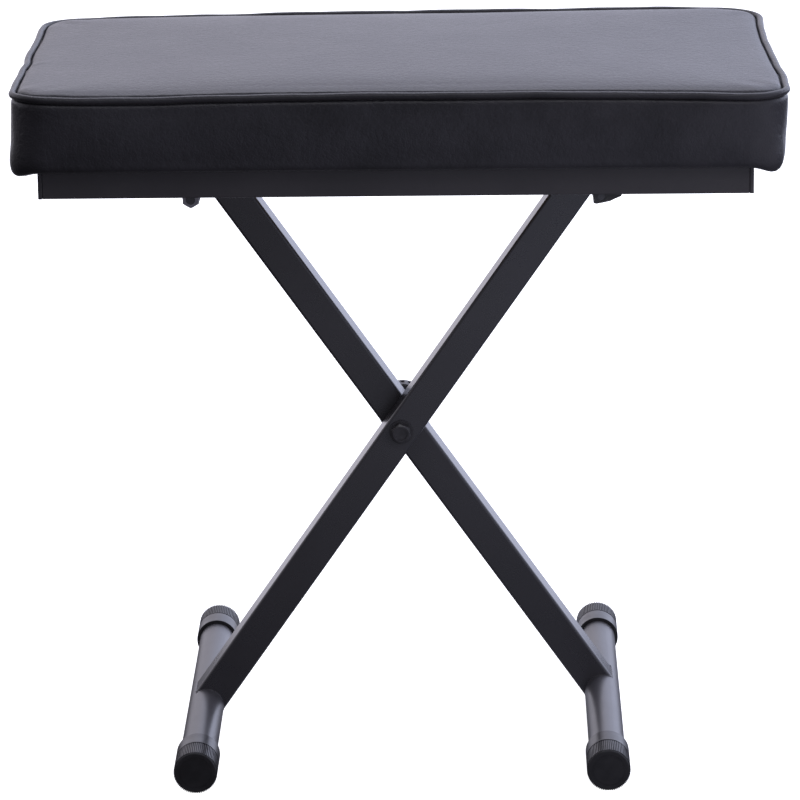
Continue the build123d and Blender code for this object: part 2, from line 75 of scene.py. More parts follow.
class Graph:
    """A short way to write a node tree."""

    def __init__(self, tree):
        self.tree = tree
        tree.nodes.clear()

    def node(self, kind, inputs=None, **settings):
        made = self.tree.nodes.new(kind)
        for key, value in settings.items():
            setattr(made, key, value)
        for key, value in (inputs or {}).items():
            if isinstance(value, bpy.types.NodeSocket):
                self.tree.links.new(value, made.inputs[key])
            else:
                made.inputs[key].default_value = value
        return made

    def math(self, operation, a, b=0.0):
        return self.node("ShaderNodeMath", {0: a, 1: b}, operation=operation).outputs[0]

    def remap(self, value, from_range, to_range, smooth=True):
        made = self.node("ShaderNodeMapRange", {
            "Value": value, "From Min": from_range[0], "From Max": from_range[1],
            "To Min": to_range[0], "To Max": to_range[1],
        }, interpolation_type="SMOOTHSTEP" if smooth else "LINEAR")
        return made.outputs["Result"]

    def noise(self, where, scale, detail=2.0, roughness=0.5, distortion=0.0):
        made = self.node("ShaderNodeTexNoise", {
            "Vector": where, "Scale": scale, "Detail": detail, "Roughness": roughness,
            "Distortion": distortion,
        })
        return made.outputs["Fac"]

    def mix(self, factor, a, b):
        made = self.node("ShaderNodeMix", data_type="RGBA")
        for key, value in ((0, factor), (6, a), (7, b)):
            if isinstance(value, bpy.types.NodeSocket):
                self.tree.links.new(value, made.inputs[key])
            else:
                made.inputs[key].default_value = value
        return made.outputs[2]

    def bump(self, height, strength, distance, normal=None):
        inputs = {"Height": height, "Strength": strength, "Distance": distance}
        if normal is not None:
            inputs["Normal"] = normal
        return self.node("ShaderNodeBump", inputs).outputs["Normal"]


def make_world():
    """A soft studio: bright behind the bench, dim in front of it, and plain white to the camera."""
    world = bpy.data.worlds.new("studio")
    scene.world = world
    world.use_nodes = True
    g = Graph(world.node_tree)
    where = g.node("ShaderNodeTexCoord").outputs["Generated"]
    split = g.node("ShaderNodeSeparateXYZ", {"Vector": where}).outputs
    behind = g.remap(split["Y"], (-0.75, 0.75), (FRONT_LIGHT, BACK_LIGHT))
    above = g.remap(split["Z"], (0.15, 0.95), (1.0, TOP_LIGHT))
    right = g.remap(split["X"], (-0.7, 0.7), (0.82, 1.22))
    rear_right = g.math("MULTIPLY", g.remap(split["X"], (0.15, 0.7), (0, REAR_RIGHT_LIGHT)),
                        g.remap(split["Y"], (0.2, 0.6), (0, 1)))
    right = g.math("ADD", right, rear_right)
    strength = g.math("MULTIPLY", g.math("MULTIPLY", behind, above), right)
    tint = g.mix(g.remap(split["X"], (-0.30, 0.30), (0, 1)), LEFT_TINT, RIGHT_TINT)
    soft = g.node("ShaderNodeBackground", {"Color": tint, "Strength": strength})
    plain = g.node("ShaderNodeBackground", {"Color": (1, 1, 1, 1), "Strength": BACKDROP_LIGHT})
    seen = g.node("ShaderNodeLightPath").outputs["Is Camera Ray"]
    both = g.node("ShaderNodeMixShader", {0: seen, 1: soft.outputs[0], 2: plain.outputs[0]})
    g.node("ShaderNodeOutputWorld", {"Surface": both.outputs[0]})


def make_floor():
    """A pale floor that glows evenly to the camera, reflects unevenly and is clear from below."""
    mesh = bpy.data.meshes.new("floor")
    corners = [(x * FLOOR_HALF, y * FLOOR_HALF, 0) for x, y in ((-1, -1), (1, -1), (1, 1), (-1, 1))]
    mesh.from_pydata(corners, [], [(0, 1, 2, 3)])
    floor = bpy.data.objects.new("floor", mesh)
    scene.collection.objects.link(floor)
    material = bpy.data.materials.new("floor_paper")
    material.use_nodes = True
    g = Graph(material.node_tree)
    where = g.node("ShaderNodeTexCoord").outputs["Object"]
    split = g.node("ShaderNodeSeparateXYZ", {"Vector": where}).outputs
    front = g.remap(split["X"], (-0.50, 0.45), FLOOR_FRONT)
    near = g.remap(split["Y"], (-1.3, -0.1), (1.0, 0.32), smooth=False)
    spread = g.math("DIVIDE", g.math("ABSOLUTE", split["X"]), g.math("MAXIMUM", split["Y"], 0.25))
    sideways = g.remap(spread, (0.40, 1.0), (1.0, 0.12))
    behind = g.math("MULTIPLY", g.remap(split["Y"], (-0.15, 0.7), (0, FLOOR_BACK)), sideways)
    front = g.math("MULTIPLY", g.math("MULTIPLY", front, near), g.remap(split["Y"], (-0.15, 0.5), (1, 0)))
    level = g.math("ADD", behind, front)
    tint = g.mix(g.remap(split["X"], (-0.4, 0.4), (0, 1)), LEFT_TINT, RIGHT_TINT)
    reflected = g.node("ShaderNodeEmission", {"Color": tint, "Strength": level})
    paper = g.node("ShaderNodeBsdfDiffuse", {"Color": (0.82, 0.82, 0.83, 1)})
    glow = g.node("ShaderNodeEmission", {"Color": (1, 1, 1, 1), "Strength": FLOOR_GLOW})
    lit = g.node("ShaderNodeAddShader", {0: paper.outputs[0], 1: glow.outputs[0]})
    seen = g.node("ShaderNodeLightPath").outputs["Is Camera Ray"]
    both = g.node("ShaderNodeMixShader", {0: seen, 1: reflected.outputs[0], 2: lit.outputs[0]})
    below = g.node("ShaderNodeNewGeometry").outputs["Backfacing"]
    clear = g.node("ShaderNodeBsdfTransparent")
    one_sided = g.node("ShaderNodeMixShader", {0: below, 1: both.outputs[0], 2: clear.outputs[0]})
    g.node("ShaderNodeOutputMaterial", {"Surface": one_sided.outputs[0]})
    mesh.materials.append(material)


def area_light(name, location, target, size, power, tint, glossy=True):
    """A softbox that the camera doesn't see, and that reflections may leave out."""
    data = bpy.data.lights.new(name, "AREA")
    data.shape = "RECTANGLE"
    data.size, data.size_y = size
    data.energy = power
    data.color = tint
    light = bpy.data.objects.new(name, data)
    scene.collection.objects.link(light)
    light.location = location
    aim = Vector(target) - Vector(location)
    light.rotation_euler = aim.to_track_quat("-Z", "Y").to_euler()
    light.visible_camera = False
    light.visible_glossy = glossy


make_world()
make_floor()
area_light("overhead_softbox", (0.2, 0.9, 2.4), (0, 0, 0.3), (2.2, 1.2), 14, (0.95, 0.96, 1.12))
area_light("side_softbox", (0.80, -0.72, 0.60), (0, 0, 0.33), (0.8, 0.8), 5, (1.0, 0.955, 1.02),
           glossy=False)
area_light("front_softbox", (0.15, -1.5, 1.75), (0, 0, 0.4), (1.6, 0.7), 4.5, (0.98, 0.98, 1.06))

# ---------------------------------------------------------------- materials


def new_material(name, colour, roughness, metallic=0.0, ior=1.5):
    """A Principled material; returns the material, its graph and the shader node."""
    material = bpy.data.materials.new(name)
    material.use_nodes = True
    g = Graph(material.node_tree)
    shader = g.node("ShaderNodeBsdfPrincipled", {
        "Base Color": (*colour, 1), "Roughness": roughness, "Metallic": metallic, "IOR": ior,
    })
    g.node("ShaderNodeOutputMaterial", {"Surface": shader.outputs[0]})
    return material, g, shader


def link(g, value, shader, name):
    """Feeds one of a shader's inputs from a node."""
    g.tree.links.new(value, shader.inputs[name])


def shades(colour, spread):
    """A darker and a lighter version of a colour."""
    return [(*(c * k for c in colour), 1) for k in (1 - spread, 1 + spread)]


def object_space(g):
    """Object coordinates, which don't move with the joints."""
    return g.node("ShaderNodeTexCoord").outputs["Object"]


def vinyl(name, colour=(0.0145, 0.0138, 0.0168), roughness=0.36):
    """Embossed upholstery vinyl: a fine pebbled grain, soft stretch marks and a faint bloom."""
    material, g, shader = new_material(name, colour, roughness, ior=1.46)
    where = object_space(g)
    dark, light = shades(colour, 0.28)
    cloudy = g.noise(where, 22, 4, 0.6)
    link(g, g.mix(g.remap(cloudy, (0.3, 0.7), (0, 1)), dark, light), shader, "Base Color")
    speckle = g.noise(where, 900, 2, 0.6)
    rough = g.math("ADD", g.remap(cloudy, (0.25, 0.75), (roughness - 0.015, roughness + 0.020)),
                   g.remap(speckle, (0.3, 0.7), (-0.03, 0.03)))
    link(g, rough, shader, "Roughness")
    warp = g.node("ShaderNodeTexNoise", {"Vector": where, "Scale": 260, "Detail": 2}).outputs["Color"]
    bent = g.node("ShaderNodeVectorMath", {0: warp, 1: (0.0016,) * 3}, operation="MULTIPLY").outputs[0]
    bent = g.node("ShaderNodeVectorMath", {0: where, 1: bent}, operation="ADD").outputs[0]
    pebbles = g.node("ShaderNodeTexVoronoi", {"Vector": bent, "Scale": 780, "Smoothness": 0.6},
                     feature="SMOOTH_F1").outputs["Distance"]
    creases = g.node("ShaderNodeTexVoronoi", {"Vector": bent, "Scale": 340},
                     feature="DISTANCE_TO_EDGE").outputs["Distance"]
    creases = g.remap(creases, (0.0, 0.12), (0.0, 1.0))
    grain = g.math("SUBTRACT", creases, pebbles)
    normal = g.bump(g.noise(where, 34, 3, 0.55), 0.10, 0.0004)
    normal = g.bump(g.noise(where, 250, 3, 0.6), 0.50, 0.00075, normal)
    normal = g.bump(grain, 0.45, 0.00010, normal)
    link(g, normal, shader, "Normal")
    shader.inputs["Sheen Weight"].default_value = 0.04
    shader.inputs["Sheen Roughness"].default_value = 0.4
    return material


def powder_coat(name, colour=(0.0155, 0.0148, 0.0172), roughness=0.40, ior=1.50):
    """Black powder coat: fine orange peel, a light speckle and slightly rubbed patches."""
    material, g, shader = new_material(name, colour, roughness, ior=ior)
    where = object_space(g)
    dark, light = shades(colour, 0.10)
    patches = g.noise(where, 16, 5, 0.6)
    link(g, g.mix(g.remap(patches, (0.3, 0.7), (0, 1)), dark, light), shader, "Base Color")
    speckle = g.noise(where, 1500, 2, 0.5)
    scuffs = g.noise(where, 60, 5, 0.6)
    rough = g.math("ADD", g.remap(scuffs, (0.35, 0.7), (roughness - 0.006, roughness + 0.010)),
                   g.remap(speckle, (0.3, 0.7), (-0.008, 0.008)))
    link(g, rough, shader, "Roughness")
    peel = g.noise(where, 520, 2, 0.5)
    normal = g.bump(peel, 0.05, 0.00006)
    normal = g.bump(speckle, 0.08, 0.00003, normal)
    link(g, normal, shader, "Normal")
    return material


def zinc(name, colour=(0.62, 0.63, 0.66), roughness=0.30):
    """Zinc-plated steel with a faint lengthwise brushing and cloudy passivation."""
    material, g, shader = new_material(name, colour, roughness, metallic=1.0)
    where = object_space(g)
    dark, light = shades(colour, 0.14)
    cloudy = g.noise(where, 160, 5, 0.65)
    link(g, g.mix(g.remap(cloudy, (0.3, 0.7), (0, 1)), dark, light), shader, "Base Color")
    stretched = g.node("ShaderNodeMapping", {"Vector": where, "Scale": (1, 0.06, 1)}).outputs[0]
    lines = g.noise(stretched, 2600, 3, 0.6)
    link(g, g.remap(lines, (0.3, 0.7), (roughness - 0.07, roughness + 0.12)), shader, "Roughness")
    link(g, g.bump(lines, 0.10, 0.00003), shader, "Normal")
    return material


def blackened_steel(name):
    """Black oxide hardware with an oily, uneven gloss."""
    colour = (0.026, 0.025, 0.028)
    material, g, shader = new_material(name, colour, 0.36, ior=1.6)
    where = object_space(g)
    dark, light = shades(colour, 0.35)
    cloudy = g.noise(where, 240, 5, 0.65)
    link(g, g.mix(g.remap(cloudy, (0.3, 0.7), (0, 1)), dark, light), shader, "Base Color")
    link(g, g.remap(g.noise(where, 420, 4, 0.6), (0.3, 0.7), (0.28, 0.46)), shader, "Roughness")
    link(g, g.bump(g.noise(where, 1700, 2), 0.12, 0.00004), shader, "Normal")
    return material


def rubber(name, colour=(0.0128, 0.0123, 0.0137)):
    """Moulded rubber: matt, faintly dusty, with a fine spark texture."""
    material, g, shader = new_material(name, colour, 0.4, ior=1.58)
    where = object_space(g)
    dark, light = shades(colour, 0.30)
    dust = g.noise(where, 75, 6, 0.7)
    link(g, g.mix(g.remap(dust, (0.35, 0.7), (0, 1)), dark, light), shader, "Base Color")
    # the foot tubes' middle lines are the caps' own, and the moulding is matt down in its grooves
    split = g.node("ShaderNodeSeparateXYZ", {"Vector": where}).outputs
    out = g.math("SUBTRACT", g.math("ABSOLUTE", split["X"]), FOOT_X * MM)
    up = g.math("SUBTRACT", split["Z"], FOOT_Z * MM)
    radius = g.math("SQRT", g.math("ADD", g.math("MULTIPLY", out, out), g.math("MULTIPLY", up, up)))
    rubbed = g.remap(radius, ((CAP_R - 0.55) * MM, (CAP_R - 0.15) * MM), (0.30, 0))
    facing = g.node("ShaderNodeSeparateXYZ", {"Vector": g.node("ShaderNodeNewGeometry").outputs["Normal"]})
    side = g.remap(g.math("ABSOLUTE", facing.outputs["Y"]), (0.3, 0.7), (1, 0))
    rough = g.math("ADD", g.remap(dust, (0.3, 0.7), (0.30, 0.40)), g.math("MULTIPLY", rubbed, side))
    link(g, rough, shader, "Roughness")
    normal = g.bump(g.noise(where, 1300, 3, 0.6), 0.18, 0.00006)
    link(g, normal, shader, "Normal")
    return material


def moulded_plastic(name, colour, roughness):
    """Injection-moulded plastic with a fine eroded texture and slight flow marks."""
    material, g, shader = new_material(name, colour, roughness, ior=1.49)
    where = object_space(g)
    dark, light = shades(colour, 0.12)
    flow = g.noise(where, 45, 3, 0.5, 2.0)
    link(g, g.mix(g.remap(flow, (0.3, 0.7), (0, 1)), dark, light), shader, "Base Color")
    grain = g.noise(where, 1900, 3, 0.6)
    link(g, g.remap(grain, (0.3, 0.7), (roughness - 0.06, roughness + 0.06)), shader, "Roughness")
    link(g, g.bump(grain, 0.16, 0.00005), shader, "Normal")
    return material


def plywood(name):
    """Poplar plywood: long grain with rays and small knots on its faces, stacked plies on its edges."""
    material, g, shader = new_material(name, (0.55, 0.38, 0.22), 0.62, ior=1.45)
    where = object_space(g)
    along = g.node("ShaderNodeMapping", {"Vector": where, "Scale": (1.3, 16, 1.3)}).outputs[0]
    figure = g.noise(along, 5.5, 6, 0.62, 1.4)
    fibres = g.node("ShaderNodeMapping", {"Vector": where, "Scale": (5, 190, 5)}).outputs[0]
    fibres = g.noise(fibres, 8, 4, 0.6)
    face = g.mix(g.remap(figure, (0.32, 0.68), (0, 1)), (0.50, 0.335, 0.185, 1), (0.66, 0.49, 0.31, 1))
    face = g.mix(g.remap(fibres, (0.35, 0.75), (0, 0.45)), face, (0.40, 0.25, 0.13, 1))
    height = g.node("ShaderNodeSeparateXYZ", {"Vector": where}).outputs["Z"]
    ply = g.math("FRACT", g.math("MULTIPLY", height, 1000 / 2.4))
    ply = g.remap(ply, (0.42, 0.58), (0, 1))
    edge = g.mix(ply, (0.42, 0.28, 0.16, 1), (0.62, 0.47, 0.30, 1))
    facing = g.node("ShaderNodeSeparateXYZ", {"Vector": g.node("ShaderNodeNewGeometry").outputs["Normal"]})
    flat = g.math("ABSOLUTE", facing.outputs["Z"])
    link(g, g.mix(g.remap(flat, (0.4, 0.6), (0, 1)), edge, face), shader, "Base Color")
    link(g, g.remap(fibres, (0.3, 0.7), (0.52, 0.74)), shader, "Roughness")
    link(g, g.bump(fibres, 0.35, 0.00020), shader, "Normal")
    return material


foot_low, foot_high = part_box("right_foot_tube")
FOOT_X, FOOT_Z = (foot_low.x + foot_high.x) / 2 / MM, (foot_low.z + foot_high.z) / 2 / MM
FOOT_R = (foot_high.x - foot_low.x) / 2 / MM
cap_low, cap_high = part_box("right_foot_cap_front")
CAP_R = (cap_high.x - cap_low.x) / 2 / MM

VINYL = vinyl("seat_vinyl")
PIPING = vinyl("piping_vinyl", (0.0145, 0.0138, 0.0165), 0.36)
HEM = vinyl("hem_vinyl", (0.016, 0.015, 0.018), 0.46)
FRAME_PAINT = powder_coat("frame_powder_coat", (0.031, 0.029, 0.032), 0.42)
LEG_PAINT = powder_coat("leg_powder_coat", (0.0245, 0.0236, 0.0275), 0.28, 1.76)
# the foot tubes wear the same black powder coat as the legs; this copy's paler base colour is painted
# light, standing in for the light on their upper sides
LIT_FOOT_PAINT = powder_coat("foot_powder_coat_painted_light", (0.044, 0.043, 0.049), 0.38, 1.82)
ZINC = zinc("zinc_plate")
DULL_ZINC = zinc("dull_zinc", (0.34, 0.33, 0.35), 0.42)
BLACK_STEEL = blackened_steel("black_oxide")
RUBBER = rubber("cap_rubber")
PLUG = moulded_plastic("plug_plastic", (0.016, 0.0155, 0.017), 0.42)
KNOB = moulded_plastic("knob_plastic", (0.042, 0.041, 0.044), 0.42)
NYLON = moulded_plastic("slide_nylon", (0.03, 0.03, 0.031), 0.45)
PLY = plywood("seat_plywood")

FINISHES = (
    (PLY, ("seat_board",)),
    (FRAME_PAINT, ("front_rail", "rear_rail", "left_rail", "right_rail", "pivot_bracket_front",
                   "pivot_bracket_rear", "slide_guide_front", "slide_guide_rear")),
    (LEG_PAINT, ("rear_leg_tube", "front_leg_tube", "pivot_rod", "slide_rod")),
    (LIT_FOOT_PAINT, ("right_foot_tube", "left_foot_tube")),
    (RUBBER, ("right_foot_cap_front", "right_foot_cap_rear", "left_foot_cap_front", "left_foot_cap_rear")),
    (PLUG, ("rear_leg_plug", "front_leg_plug")),
    (KNOB, ("clamp_knob",)),
    (NYLON, ("pivot_thrust_washers", "leg_spacer", "slide_block_front", "slide_block_rear")),
    (ZINC, ("frame_screws", "rear_leg_sleeve", "front_leg_sleeve", "knob_insert")),
    (DULL_ZINC, ("pivot_rod_nuts", "pivot_rod_washers")),
    (BLACK_STEEL, ("pivot_bolt", "bolt_washer", "knob_washer")),
)
for finish, names in FINISHES:
    for name in names:
        node = nodes[name]
        if not node.material_slots:
            node.data.materials.append(finish)
        for place in node.material_slots:
            place.link = "OBJECT"
            place.material = finish

# ---------------------------------------------------------------- mesh helpers


def mesh_object(name, points, faces, material, body, slot):
    """A new smooth piece that rides on a body, if one is named, from points in millimetres."""
    mesh = bpy.data.meshes.new(name)
    mesh.from_pydata([tuple(p) for p in np.asarray(points, float) * MM], [], faces)
    mesh.validate()
    mesh.shade_smooth()
    mesh.materials.append(material)
    made = bpy.data.objects.new(name, mesh)
    scene.collection.objects.link(made)
    if body:
        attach(made, body)
    return made


def tube(path, radii, sides, closed=True):
    """Points and faces of a tube along a path. The first frame axis stays near vertical."""
    path = np.asarray(path, float)
    count = len(path)
    ahead = np.roll(path, -1, 0) - np.roll(path, 1, 0)
    if not closed:
        ahead[0], ahead[-1] = path[1] - path[0], path[-1] - path[-2]
    ahead /= np.linalg.norm(ahead, axis=1)[:, None]
    across = np.cross(ahead, (0, 0, 1.0))
    weak = np.linalg.norm(across, axis=1) < 1e-6
    across[weak] = (1, 0, 0)
    across /= np.linalg.norm(across, axis=1)[:, None]
    lift = np.cross(across, ahead)
    angle = np.linspace(0, 2 * math.pi, sides, endpoint=False)
    radii = np.broadcast_to(np.asarray(radii, float), (count,))
    ring = np.cos(angle)[None, :, None] * across[:, None, :]
    ring = ring + np.sin(angle)[None, :, None] * lift[:, None, :]
    points = (path[:, None, :] + radii[:, None, None] * ring).reshape(-1, 3)
    faces = []
    for i in range(count if closed else count - 1):
        j = (i + 1) % count
        for k in range(sides):
            m = (k + 1) % sides
            faces.append((i * sides + k, j * sides + k, j * sides + m, i * sides + m))
    if not closed:
        faces.append(tuple(range(sides)))
        faces.append(tuple((count - 1) * sides + k for k in reversed(range(sides))))
    return points, faces


def join(parts):
    """Points and faces of several shapes as one."""
    points, faces, offset = [], [], 0
    for p, f in parts:
        points.append(p)
        faces += [tuple(i + offset for i in face) for face in f]
        offset += len(p)
    return np.concatenate(points), faces


def wave(values, seed, count, low, high):
    """A smooth, repeatable wobble of about unit size round a closed loop, values from 0 to 1.

    It adds up count sine waves, each with low to high turns round the loop.
    """
    rng = np.random.default_rng(seed)
    out = np.zeros_like(values)
    for _ in range(count):
        turns = int(rng.integers(low, high))
        out += rng.normal() / math.sqrt(count) * np.sin(2 * math.pi * (turns * values + rng.random()))
    return out


# ---------------------------------------------------------------- cushion

low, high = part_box("cover_band")
HALF_X = (high.x - low.x) / 2 / MM + 0.6
HALF_Y = (high.y - low.y) / 2 / MM - 0.4
BOTTOM = low.z / MM
low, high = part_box("cover_piping")
SEAM_Z = (low.z + high.z) / 2 / MM
SHIFT_X = 2.0              # the cushion sits this far to the right of the frame's middle
CORNER = 25.0
CROWN = 3.0                # the most that the filling lifts the top
CROWN_REACH = 6.0          # how soon the top comes up to its crown
SIDE_SWELL = 1.6           # the most that the filling moves the skin sideways
PIPING_RADIUS = 2.42
HEM_REACH = 50.0           # how far the hem is turned in under the board
STAPLE_INSET = 44.5
AROUND = 520               # points round each ring of the skin
TOP_RINGS = 46


def outline(inset, count=AROUND, corner=CORNER):
    """Points of the cushion's rounded outline, evenly spaced, and their outward directions."""
    radius = max(corner - inset, 1.5)
    sx, sy = HALF_X - inset - radius, HALF_Y - inset - radius
    # the same share of every outline goes to each run, so that rings line up
    nominal = [2 * (HALF_Y - corner), math.pi * corner / 2, 2 * (HALF_X - corner), math.pi * corner / 2] * 2
    ends = np.concatenate([[0], np.cumsum(nominal)])
    place = np.linspace(0, ends[-1], count, endpoint=False)
    points, outward = np.zeros((count, 2)), np.zeros((count, 2))
    centres = [(sx, sy), (-sx, sy), (-sx, -sy), (sx, -sy)]
    for i, s in enumerate(place):
        k = min(int(np.searchsorted(ends, s, "right")) - 1, 7)
        t = (s - ends[k]) / nominal[k]
        side = k // 2
        if k % 2 == 0:
            start, end = centres[side - 1], centres[side]
            turn = side * math.pi / 2
            o = np.array((math.cos(turn), math.sin(turn)))
            points[i] = np.array(start) * (1 - t) + np.array(end) * t + o * radius
        else:
            turn = side * math.pi / 2 + t * math.pi / 2
            o = np.array((math.cos(turn), math.sin(turn)))
            points[i] = np.array(centres[side]) + o * radius
        outward[i] = o
    return points, outward


def sided(values, x, reach=15):
    """Reads a table of (place, amount), smoothed over reach steps of its 240 each way."""
    places, amounts = zip(*values)
    fine = np.linspace(places[0], places[-1], 240)
    level = np.interp(fine, places, amounts)
    kernel = np.hanning(2 * reach + 1)
    level = np.convolve(np.pad(level, reach, "edge"), kernel / kernel.sum(), "valid")
    return np.interp(x, fine, level)


# how far each edge stands out from, or is pulled in from, its nominal line, in millimetres
LEFT_EDGE = ((-150, -0.2), (-110, 0.8), (-67, 0.8), (-40, 0.2), (-25, -0.9), (-5, 0.4), (18, 0.9),
             (62, -0.2), (90, 0.2), (111, 0.9), (134, -0.2), (150, -0.6))
RIGHT_EDGE = ((-150, 0.8), (-132, 1.3), (-91, 2.0), (-50, -0.5), (-7, -1.4), (37, -3.0), (85, -2.8),
              (120, -1.6), (143, -1.8), (150, -2.2))
# how far the front and rear seams stand above or below their nominal height, from left to right
FRONT_HEIGHT = ((-262, 0.4), (-228, -0.6), (-205, -1.2), (-160, -1.1), (-135, -0.5), (-112, 0.1),
                (-50, 0.45), (0, 0.7), (40, 0.45), (75, 0.65), (122, 0.4), (146, -0.1), (192, -0.7),
                (216, -1.5), (239, -1.9), (262, -1.8))
REAR_HEIGHT = ((-262, -3.6), (-240, -3.0), (-200, -2.0), (-146, -1.0), (-60, 0.3), (0, 0.7), (100, 1.2),
               (183, 1.5), (219, 1.4), (245, 0.2), (262, -1.2))


def corner_droop(x, y):
    """How far the skin sags below its nominal edge at the cushion's four lower corners."""
    gap_x, gap_y = HALF_X - np.abs(x), HALF_Y - np.abs(y)
    left = 5.0 * np.exp(-((gap_x - 1.5) ** 2 + (gap_y - 15.5) ** 2) / 12.5 ** 2)
    right = 4.6 * np.exp(-((gap_x - 7.5) ** 2 + (gap_y - 8) ** 2) / 9.5 ** 2)
    return np.where(x < 0, left, right)


def settle(points):
    """Moves cushion points from the nominal shape to the slightly uneven real one."""
    p = np.array(points, float)
    x, y, z = p[:, 0].copy(), p[:, 1].copy(), p[:, 2].copy()
    upper = np.clip((z - BOTTOM) / (SEAM_Z - BOTTOM), 0, 1)
    upper = upper * upper * (3 - 2 * upper)
    back = np.clip((y + HALF_Y) / (2 * HALF_Y), 0, 1)
    rise = sided(FRONT_HEIGHT, x) * (1 - back) + sided(REAR_HEIGHT, x) * back
    p[:, 2] = z + rise * upper
    edge = np.clip(np.abs(x) / HALF_X, 0, 1) ** 6
    spread = np.where(x < 0, -sided(LEFT_EDGE, y, 7), sided(RIGHT_EDGE, y))
    lean = np.where(x < 0, 1.5 * (upper - 0.6), 0.9 * (upper - 0.45)) * np.clip(-y / 60, 0, 1)
    p[:, 0] = x + SHIFT_X + (spread * (0.35 + 0.65 * upper) + lean) * edge
    edge_y = np.clip(np.abs(y) / HALF_Y, 0, 1) ** 6
    bow = -0.7 * np.cos(np.clip(x / HALF_X, -1, 1) * math.pi / 2) ** 0.5
    p[:, 1] = y + np.sign(y) * bow * edge_y * (0.3 + 0.7 * upper)
    return p


# the skin's section as insets with heights: from under the edge, counted from the band's bottom, then
# through the seam's valley and over the shoulder, counted from the seam
UNDER_EDGE = ((15, 5.0), (13, 2.6), (11, 0.9), (8, 0.25), (5.2, 0.15), (3.4, 0.5), (2.0, 1.2), (0.8, 2.3),
              (0.0, 3.8), (-0.4, 5.8))
OVER_SEAM = ((-0.35, -4.6), (0.25, -3.5), (1.1, -2.7), (2.0, -2.0), (2.7, -1.2), (3.3, -0.3), (3.8, 0.5),
             (4.3, 1.2), (5.0, 1.75), (6.1, 2.2), (7.6, 2.6), (9.6, 3.0), (12, 3.35))
BAND_INSET = -0.6
BAND_LOW, BAND_HIGH, BAND_RINGS = BOTTOM + 8, SEAM_Z - 6.0, 18
CENTRE_RISE = 1.2          # how much higher the nominal top is at its middle


def cushion_mesh():
    """Points and faces of the nominal closed skin, ring by ring, from underneath to the top's middle."""
    section = [(inset, BOTTOM + rise) for inset, rise in UNDER_EDGE]
    section += [(BAND_INSET, z) for z in np.linspace(BAND_LOW, BAND_HIGH, BAND_RINGS)]
    section += [(inset, SEAM_Z + rise) for inset, rise in OVER_SEAM]
    rings = []
    for inset, z in section:
        xy, _ = outline(inset)
        rings.append(np.column_stack([xy, np.full(AROUND, z)]))
    last = rings[-1]
    for k in range(1, TOP_RINGS):
        ring = last.copy()
        ring[:, :2] *= 1 - k / TOP_RINGS
        ring[:, 2] += CENTRE_RISE * k / TOP_RINGS
        rings.append(ring)
    points = np.concatenate(rings + [[[0, 0, last[0, 2] + CENTRE_RISE]], [[0, 0, section[0][1]]]])
    faces = []
    for r in range(len(rings) - 1):
        for i in range(AROUND):
            j = (i + 1) % AROUND
            faces.append((r * AROUND + i, r * AROUND + j, (r + 1) * AROUND + j, (r + 1) * AROUND + i))
    top, base = len(points) - 2, len(points) - 1
    start = (len(rings) - 1) * AROUND
    for i in range(AROUND):
        j = (i + 1) % AROUND
        faces.append((start + i, start + j, top))
        faces.append((j, i, base))
    return points, faces


SLIM = 1.2                 # the simulation starts from a skin this much smaller all round
VOXEL = 4.8
CLOTH_FRAMES = 20
SEAM_HOLD = 3.2            # the seam holds the skin this far above and below it


def remeshed(points, faces):
    """An even mesh of small squares over a closed skin."""
    copy = mesh_object("swelling", points, faces, VINYL, None, None)
    remesh = copy.modifiers.new("remesh", "REMESH")
    remesh.mode = "VOXEL"
    remesh.voxel_size = VOXEL * MM
    graph = bpy.context.evaluated_depsgraph_get()
    mesh = bpy.data.meshes.new_from_object(copy.evaluated_get(graph))
    copy.modifiers.clear()
    copy.data = mesh
    return copy


def swell(points, faces):
    """Cloth simulation of a remeshed copy under pressure; returns how each point of the skin moves."""
    slim = points.copy()
    slim[:, :2] *= (1 - SLIM / HALF_X, 1 - SLIM / HALF_Y)
    copy = remeshed(slim, faces)
    before = np.array([v.co for v in copy.data.vertices]) / MM
    out_x, out_y = np.abs(before[:, 0]) / HALF_X, np.abs(before[:, 1]) / HALF_Y
    at_edge = np.maximum(out_x, out_y) > 0.965
    pins = (before[:, 2] < BOTTOM + 3.5) | (at_edge & (np.abs(before[:, 2] - SEAM_Z) < SEAM_HOLD))
    group = copy.vertex_groups.new(name="pin")
    group.add([int(i) for i in np.nonzero(pins)[0]], 1.0, "REPLACE")
    cloth = copy.modifiers.new("cloth", "CLOTH")
    settings = cloth.settings
    settings.quality = 5
    settings.mass = 0.35
    settings.tension_stiffness = 18
    settings.compression_stiffness = 12
    settings.shear_stiffness = 8
    settings.bending_stiffness = 0.8
    settings.use_pressure = True
    settings.uniform_pressure_force = 4.0
    settings.vertex_group_mass = "pin"
    settings.effector_weights.gravity = 0
    for number in range(1, CLOTH_FRAMES + 1):
        scene.frame_set(number)
    graph = bpy.context.evaluated_depsgraph_get()
    after = np.array([v.co for v in copy.evaluated_get(graph).data.vertices]) / MM
    copy.modifiers.clear()
    scene.frame_set(1)
    bpy.data.objects.remove(copy)
    return carried(after - before, before, slim)


def carried(moved, before, points):
    """How points move with a cloth whose own points stood at before and moved by moved."""
    print("cloth moved", np.abs(moved).max(0).round(2), "points", len(before))
    tree = KDTree(len(before))
    for i, p in enumerate(before):
        tree.insert(p, i)
    tree.balance()
    field = np.zeros_like(points)
    for i, p in enumerate(points):
        near = tree.find_n(p, 8)
        weights = np.array([1 / (d + 1.0) ** 2 for _, _, d in near])
        field[i] = (moved[[k for _, k, _ in near]] * weights[:, None]).sum(0) / weights.sum()
    return field


